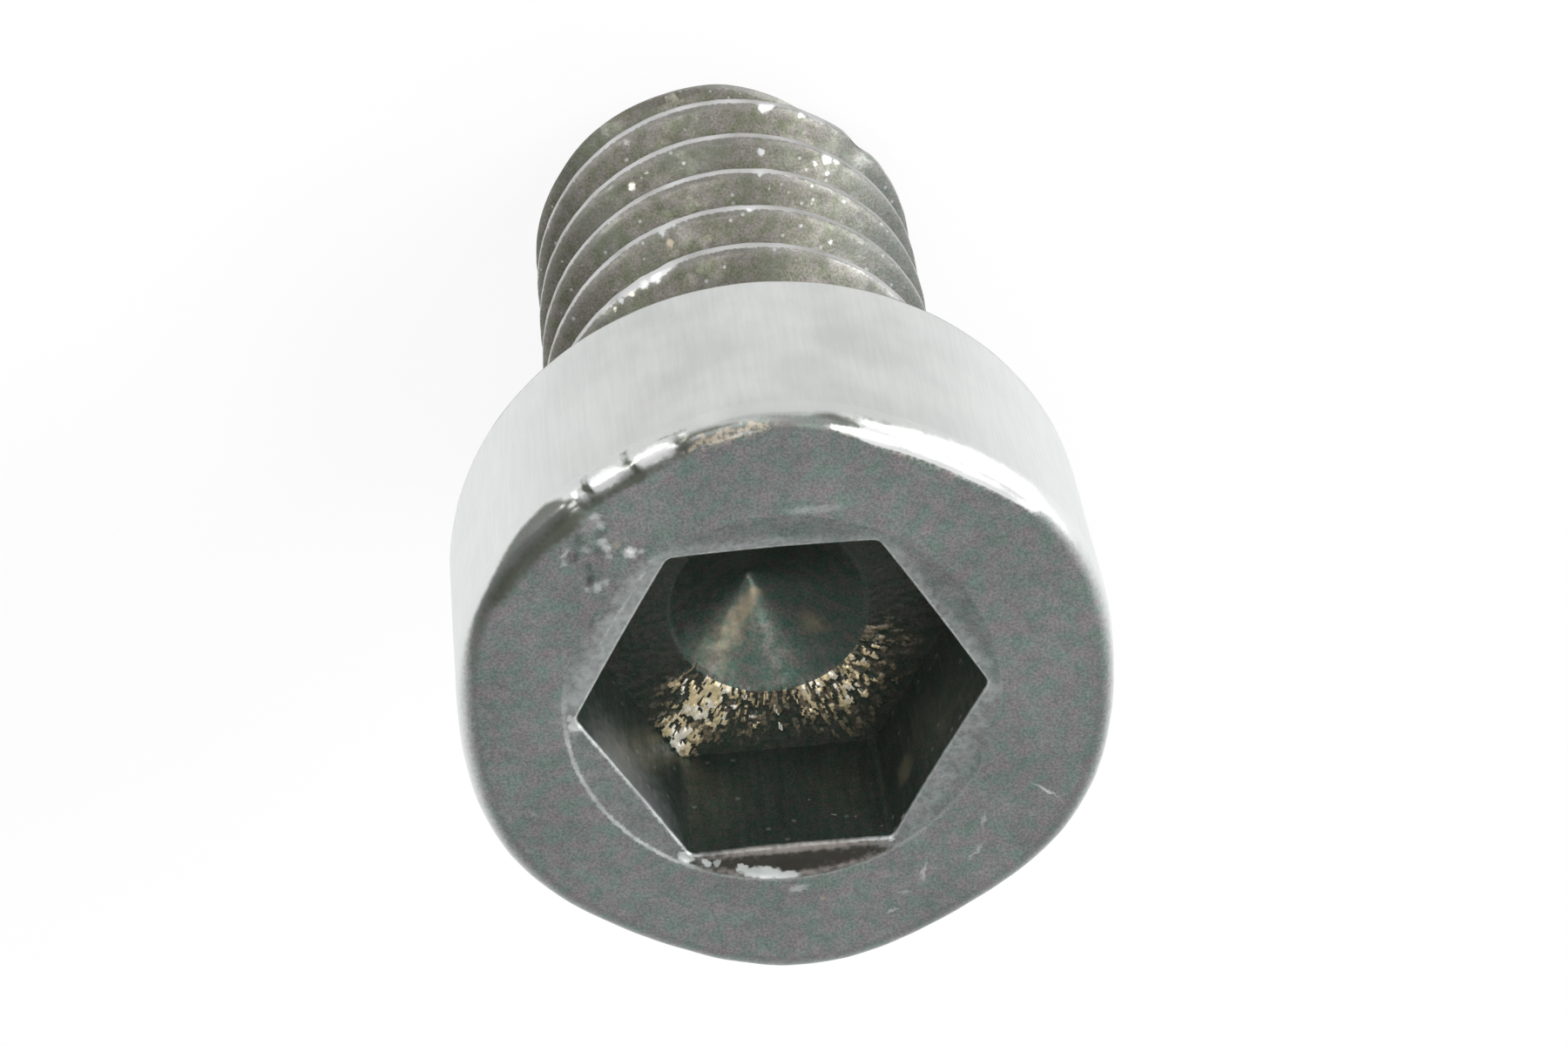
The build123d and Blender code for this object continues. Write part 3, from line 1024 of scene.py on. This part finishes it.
def mouth_steel():
    finish = Finish("steel_mouth")
    tone = finish.worn("tone", 0.10, 0.2)
    colour = finish.over(finish.mottle("mouth", 0.24, 0.26), tone, 0.0, 1.1, SCRAPED)
    colour = finish.over(colour, tone, 0.0, -0.8, BROWN)
    colour = finish.over(colour, finish.worn("warm", 0.10, 0.2), 0.1, 1.1, (0.30, 0.275, 0.255))
    colour = finish.mix(finish.line(0.035, 0.0, 0.015), colour, PALE)
    ragged = finish.ragged(0.10, 0.05)
    for degrees, radius, half_length, half_width, share in MOUTH_CHIPS:
        centre = polar_point(degrees, radius)
        sizes = (half_length, half_width, 0.3)
        colour = finish.stamp(colour, ragged, centre, sizes, radians(degrees + 90), 0.25, share, PALE)
    finish.relief(0.002, 0.06)
    return finish.done(colour, finish.uneven(0.36, 0.52), 0.75)


def rim_steel():
    finish = Finish("steel_rim")
    polish = finish.mask("polish")
    colour = finish.mix(polish, finish.mottle("face", 0.26, 0.24), RIM_POLISHED)
    edge = finish.remap(finish.worn("edge", 0.07, 0.05), 0.0, 1.0)
    colour = finish.mix(edge, colour, pale_side(finish))
    wobble = finish.wobble(0.07, 0.10)
    broken = finish.remap(finish.grain(0.09, 4.0), 0.38, 0.60, -0.45, 0.18)
    # Dark wear with a painted dark reflection, a tan tint, and bare metal with a painted highlight.
    for mask, shade, full, rough in (
        ("dark", RIM_DARK, 0.9, wobble),
        ("warm", TAN, 1.0, broken),
        ("bare", BRIGHT, 0.75, wobble),
    ):
        colour = finish.over(colour, finish.math("ADD", finish.mask(mask), rough), 0.2, full, shade)
    finish.relief(0.0015, 0.10, 3.0)
    smooth = finish.math("MAXIMUM", polish, finish.math("MULTIPLY", edge, 0.8))
    return finish.done(colour, finish.remap(smooth, 0.0, 1.0, 0.5, 0.26), 0.8)


def pale_side(finish):
    """The side's shade, paler toward its left and right as a painted reflection, and greyer at the front and
    back.
    """
    return finish.over(finish.mottle("side", 0.6, 0.015), finish.mask("tone"), 0.0, 1.0, PALE_SIDE)


def side_steel():
    finish = Finish("steel_side")
    brush = (1, 1, 0.06)
    streaks = finish.remap(finish.grain(0.06, 3.0, brush), 0.25, 0.75, 0.97, 1.03)
    colour = finish.mix(1.0, pale_side(finish), streaks, "MULTIPLY")
    finish.relief(0.0003, 0.06, 3.0, brush)
    return finish.done(colour, finish.uneven(0.28, 0.34, 0.4, 3.0), 0.9)


def thread_steel():
    finish = Finish("steel_thread")
    colour = finish.mottle("thread", 0.20, 0.32)
    green = finish.remap(finish.grain(0.9, 2.0), 0.48, 0.66, 0.0, 0.4)
    colour = finish.mix(green, colour, (0.118, 0.140, 0.104))
    # The paler shade on the thread's lit side is painted light.
    colour = finish.lay(colour, finish.mask("tone"), 0.7, finish.mottle("paler thread", 0.16, 0.26))
    near_crest = finish.remap(finish.mask("line_off"), 0.45, 0.05)
    specks = finish.math("MULTIPLY", finish.specks(0.10, 0.06), near_crest)
    colour = finish.lay(colour, specks, 0.5, PALE)
    # Painted highlight fading off beside the crest, as strong as the crest's shine.
    beside_crest = finish.remap(finish.mask("line_off"), 0.09, 0.0, 0.0, 0.35)
    colour = finish.lay(colour, beside_crest, finish.mask("line_shine"), (0.40, 0.39, 0.38))
    colour = finish.mix(finish.line(0.010, -0.022, 0.012), colour, (0.62, 0.62, 0.62))
    ragged = finish.ragged(0.07, 0.035)
    for degrees, radius, turn, above, half_size, shade, share in THREAD_SPECKS:
        centre = polar_point(degrees, radius, crest_z(degrees, turn) + above)
        colour = finish.stamp(colour, ragged, centre, (half_size,) * 3, 0, 0.4, share, shade)
    finish.relief(0.0025, 0.05)
    finish.relief(0.003, 0.12, 3.0, (0.25, 0.25, 1))
    return finish.done(colour, finish.uneven(0.34, 0.50), 0.7)


# Specks lodged on the thread's flanks: angle, radius, crest, height above it, half size, shade, share
THREAD_SPECKS = (
    (-105.5, 3.14, 1, 0.12, 0.085, BRIGHT, 1.0),
    (-107.5, 3.16, 1, 0.06, 0.060, BRIGHT, 0.9),
    (-117.0, 3.15, 1, 0.09, 0.050, BRIGHT, 0.7),
    (-124.0, 3.13, 2, 0.12, 0.080, BRIGHT, 0.9),
    (-127.0, 3.15, 2, 0.08, 0.050, PALE, 0.9),
    (-100.5, 3.16, 3, 0.07, 0.050, PALE, 0.9),
    (-95.5, 3.16, 4, 0.06, 0.045, BRIGHT, 0.8),
    (-69.5, 3.14, 4, 0.10, 0.065, PALE, 0.9),
    (-73.5, 3.16, 4, 0.06, 0.045, PALE, 0.8),
    (-66.0, 3.13, 5, 0.11, 0.090, BRIGHT, 0.8),
    (-62.0, 3.13, 5, 0.11, 0.075, BRIGHT, 0.9),
    (-57.5, 3.12, 5, 0.13, 0.050, WHITE_GOLD, 0.9),
    (-54.0, 3.12, 5, 0.12, 0.045, PALE, 0.9),
    (-51.0, 3.10, 5, 0.15, 0.035, WHITE_GOLD, 0.8),
    (-60.0, 2.96, 2, 0.21, 0.060, WHITE_GOLD, 1.0),
    (-103.0, 2.98, 2, 0.20, 0.060, PALE, 0.7),
    (-66.0, 3.00, 2, 0.16, 0.035, PALE, 0.7),
    (-121.0, 2.98, 2, 0.16, 0.040, PALE, 0.8),
    (-126.0, 2.95, 2, 0.22, 0.035, PALE, 0.8),
    (-70.5, 2.97, 4, 0.20, 0.060, TAN, 0.8),
    (-61.0, 3.05, 1, 0.12, 0.050, PALE, 0.5),
    (-122.0, 2.93, 4, 0.22, 0.035, PALE, 0.8),
    (-118.0, 2.90, 3, 0.28, 0.030, PALE, 0.6),
)


def plain_steel(name, contrast, roughness, metal):
    """A zone without marks of its own."""
    finish = Finish("steel_" + name)
    colour = finish.mottle(name, 0.4, contrast)
    finish.relief(0.002, 0.05)
    finish.relief(0.003, 0.3, 3.0)
    return finish.done(colour, finish.uneven(*roughness), metal)


def underside_steel():
    return plain_steel("underside", 0.08, (0.34, 0.46), 0.85)


def tip_steel():
    return plain_steel("tip", 0.14, (0.40, 0.55), 0.8)


def wall_point(degrees, radius, depth):
    """A place in the socket, by its angle and radius from the socket's centre and its depth."""
    return polar_point(degrees, radius, TOP_Z - depth) + np.array([*SOCKET_CENTRE, 0.0])


def wall_steel():
    finish = Finish("steel_socket_wall")
    streaks = finish.remap(finish.grain(0.07, 3.0, (1, 1, 0.08)), 0.25, 0.75, 0.85, 1.18)
    colour = finish.mix(1.0, finish.mottle("wall", 0.14, 0.38), streaks, "MULTIPLY")
    # The walls' painted sheen.
    colour = finish.over(colour, finish.worn("tone", 0.15, 0.08), 0.1, 1.0, (0.27, 0.29, 0.30))
    ragged = finish.ragged(0.12, 0.07)
    centre = wall_point(131.0, 2.71, 0.95)
    colour = finish.stamp(colour, ragged, centre, (0.20, 0.2, 0.24), radians(60), 0.6, 0.55, STAIN)
    for degrees, radius, depth, half_size in WALL_SPECKS:
        centre = wall_point(degrees, radius, depth)
        colour = finish.stamp(colour, ragged, centre, (half_size,) * 3, 0, 0.4, 0.8, PALE)
    colour = finish.lay(colour, finish.specks(0.13, 0.05), 0.25, PALE)
    colour = finish.mix(finish.line(0.03, 0.0, 0.015), colour, PALE)
    finish.relief(0.003, 0.06)
    return finish.done(colour, finish.uneven(0.32, 0.46), 0.6)


# Specks on the socket's walls: angle, radius, depth, half size
WALL_SPECKS = (
    (61.2, 2.85, 0.58, 0.030),
    (111.7, 2.75, 0.64, 0.030),
    (105.1, 2.65, 0.69, 0.028),
    (125.8, 2.80, 0.10, 0.035),
    (118.0, 2.88, 0.30, 0.022),
    (70.0, 2.72, 0.95, 0.020),
    (98.0, 2.58, 1.10, 0.018),
)


def floor_steel():
    finish = Finish("steel_torn_floor")
    flake = finish.worn("flake", 0.06, 0.08)
    # Brown, gold and white-gold by the flake's brightness: torn bare metal with painted glints.
    colour = finish.over(finish.mottle("floor", 0.14, 0.3), flake, 0.12, 0.50, (0.22, 0.18, 0.12))
    colour = finish.over(colour, flake, 0.48, 0.74, (0.80, 0.66, 0.40))
    colour = finish.over(colour, flake, 0.76, 0.94, WHITE_GOLD)
    finish.relief(0.004, 0.06)
    return finish.done(colour, finish.uneven(0.25, 0.42, 0.12, 3.0), 0.35)


def pit_steel():
    finish = Finish("steel_pit")
    warm = finish.worn("warm", 0.12, 0.15)
    # The warm streak is a painted highlight on the cone.
    colour = finish.over(finish.mottle("pit", 0.16, 0.30), warm, 0.10, 1.2, (0.26, 0.225, 0.155))
    finish.relief(0.002, 0.06)
    return finish.done(colour, finish.uneven(0.32, 0.46, 0.2, 3.0), 0.75)


STEELS = {
    "pit": pit_steel,
    "torn_floor": floor_steel,
    "socket_wall": wall_steel,
    "mouth": mouth_steel,
    "face": face_steel,
    "rim": rim_steel,
    "side": side_steel,
    "underside": underside_steel,
    "thread": thread_steel,
    "tip": tip_steel,
}


# Stage: a pale floor, a room that is white low down and darker above, and soft lamps
FLOOR_HALF = 0.6
FLOOR_SHADE = (0.95, 0.95, 0.95)
FLOOR_WHITE_SHARE = 0.85
LAMPS = (
    # name, azimuth, elevation, distance, size, radiance
    ("key", 8, 60, 0.20, 0.06, 8.0),
    ("broad_left", -62, 32, 0.18, 0.13, 5.0),
    ("small_right", 47, 38, 0.16, 0.035, 12.0),
    ("into_socket", -88, 76, 0.18, 0.05, 7.5),
)


def toward(azimuth, elevation):
    """Unit vector: azimuth 0 is the -Y side and 90 the +X side."""
    azimuth, elevation = radians(azimuth), radians(elevation)
    return Vector((sin(azimuth) * cos(elevation), -cos(azimuth) * cos(elevation), sin(elevation)))


def pale_floor():
    """A pale shade, mostly plain white where the camera or a glossy surface sees it."""
    finish = Finish("pale_floor")
    path = finish.node("ShaderNodeLightPath")
    seen = finish.math("MAXIMUM", path.outputs["Is Camera Ray"], path.outputs["Is Glossy Ray"])
    both = finish.node("ShaderNodeMixShader")
    finish.feed(both.inputs[0], finish.math("MULTIPLY", seen, FLOOR_WHITE_SHARE))
    finish.feed(both.inputs[1], finish.shader.outputs[0])
    finish.feed(both.inputs[2], finish.node("ShaderNodeEmission").outputs[0])
    finish.feed(finish.tree.nodes["Material Output"].inputs["Surface"], both.outputs[0])
    finish.feed(finish.shader.inputs["Base Color"], FLOOR_SHADE)
    finish.feed(finish.shader.inputs["Roughness"], 0.9)
    return finish.material


def add_floor():
    mesh = bpy.data.meshes.new("floor")
    corners = [(x * FLOOR_HALF, y * FLOOR_HALF, 0) for x, y in ((-1, -1), (1, -1), (1, 1), (-1, 1))]
    mesh.from_pydata(corners, [], [(0, 1, 2, 3)])
    mesh.materials.append(pale_floor())
    floor = bpy.data.objects.new("floor", mesh)
    bpy.context.scene.collection.objects.link(floor)


def add_world():
    world = bpy.data.worlds.new("room")
    bpy.context.scene.world = world
    world.use_nodes = True
    tree = world.node_tree
    background = tree.nodes["Background"]
    coords = tree.nodes.new("ShaderNodeTexCoord")
    split = tree.nodes.new("ShaderNodeSeparateXYZ")
    ramp = tree.nodes.new("ShaderNodeValToRGB")
    ramp.color_ramp.elements[0].position = 0.35
    ramp.color_ramp.elements[0].color = (1, 1, 1, 1)
    ramp.color_ramp.elements[1].position = 0.6
    ramp.color_ramp.elements[1].color = (0.4, 0.4, 0.4, 1)
    tree.links.new(coords.outputs["Generated"], split.inputs[0])
    tree.links.new(split.outputs["Z"], ramp.inputs["Fac"])
    tree.links.new(ramp.outputs["Color"], background.inputs["Color"])


def add_lamps():
    aim = Vector((0, 0, 0.012))
    for name, azimuth, elevation, distance, size, radiance in LAMPS:
        light = bpy.data.lights.new(name, "AREA")
        light.shape = "DISK"
        light.size = size
        light.energy = radiance * pi * (pi * size**2 / 4)
        lamp = bpy.data.objects.new(name, light)
        away = toward(azimuth, elevation)
        lamp.location = aim + away * distance
        lamp.rotation_euler = away.to_track_quat("Z", "Y").to_euler()
        lamp.visible_camera = False
        bpy.context.scene.collection.objects.link(lamp)


CAMERA_AZIMUTH = 4.5716
CAMERA_ELEVATION = 57.7969
CAMERA_ROLL = 171.0645
CAMERA_AIM = (-0.3274, -0.0262, TOP_Z - 4.7773)
CAMERA_DISTANCE = 61.8915
CAMERA_LENS = 93.294


def add_camera():
    camera = bpy.data.objects.new("camera", bpy.data.cameras.new("camera"))
    back = toward(CAMERA_AZIMUTH, CAMERA_ELEVATION)
    turn = back.to_track_quat("Z", "Y").to_matrix() @ Matrix.Rotation(radians(CAMERA_ROLL), 3, "Z")
    place = (Vector(CAMERA_AIM) + back * CAMERA_DISTANCE) * MM
    camera.matrix_world = Matrix.Translation(place) @ turn.to_4x4()
    camera.data.lens = CAMERA_LENS
    camera.data.clip_start = 0.001
    bpy.context.scene.collection.objects.link(camera)
    bpy.context.scene.camera = camera


make_screw()
add_floor()
add_world()
add_lamps()
add_camera()
bpy.context.scene.view_settings.view_transform = "Standard"
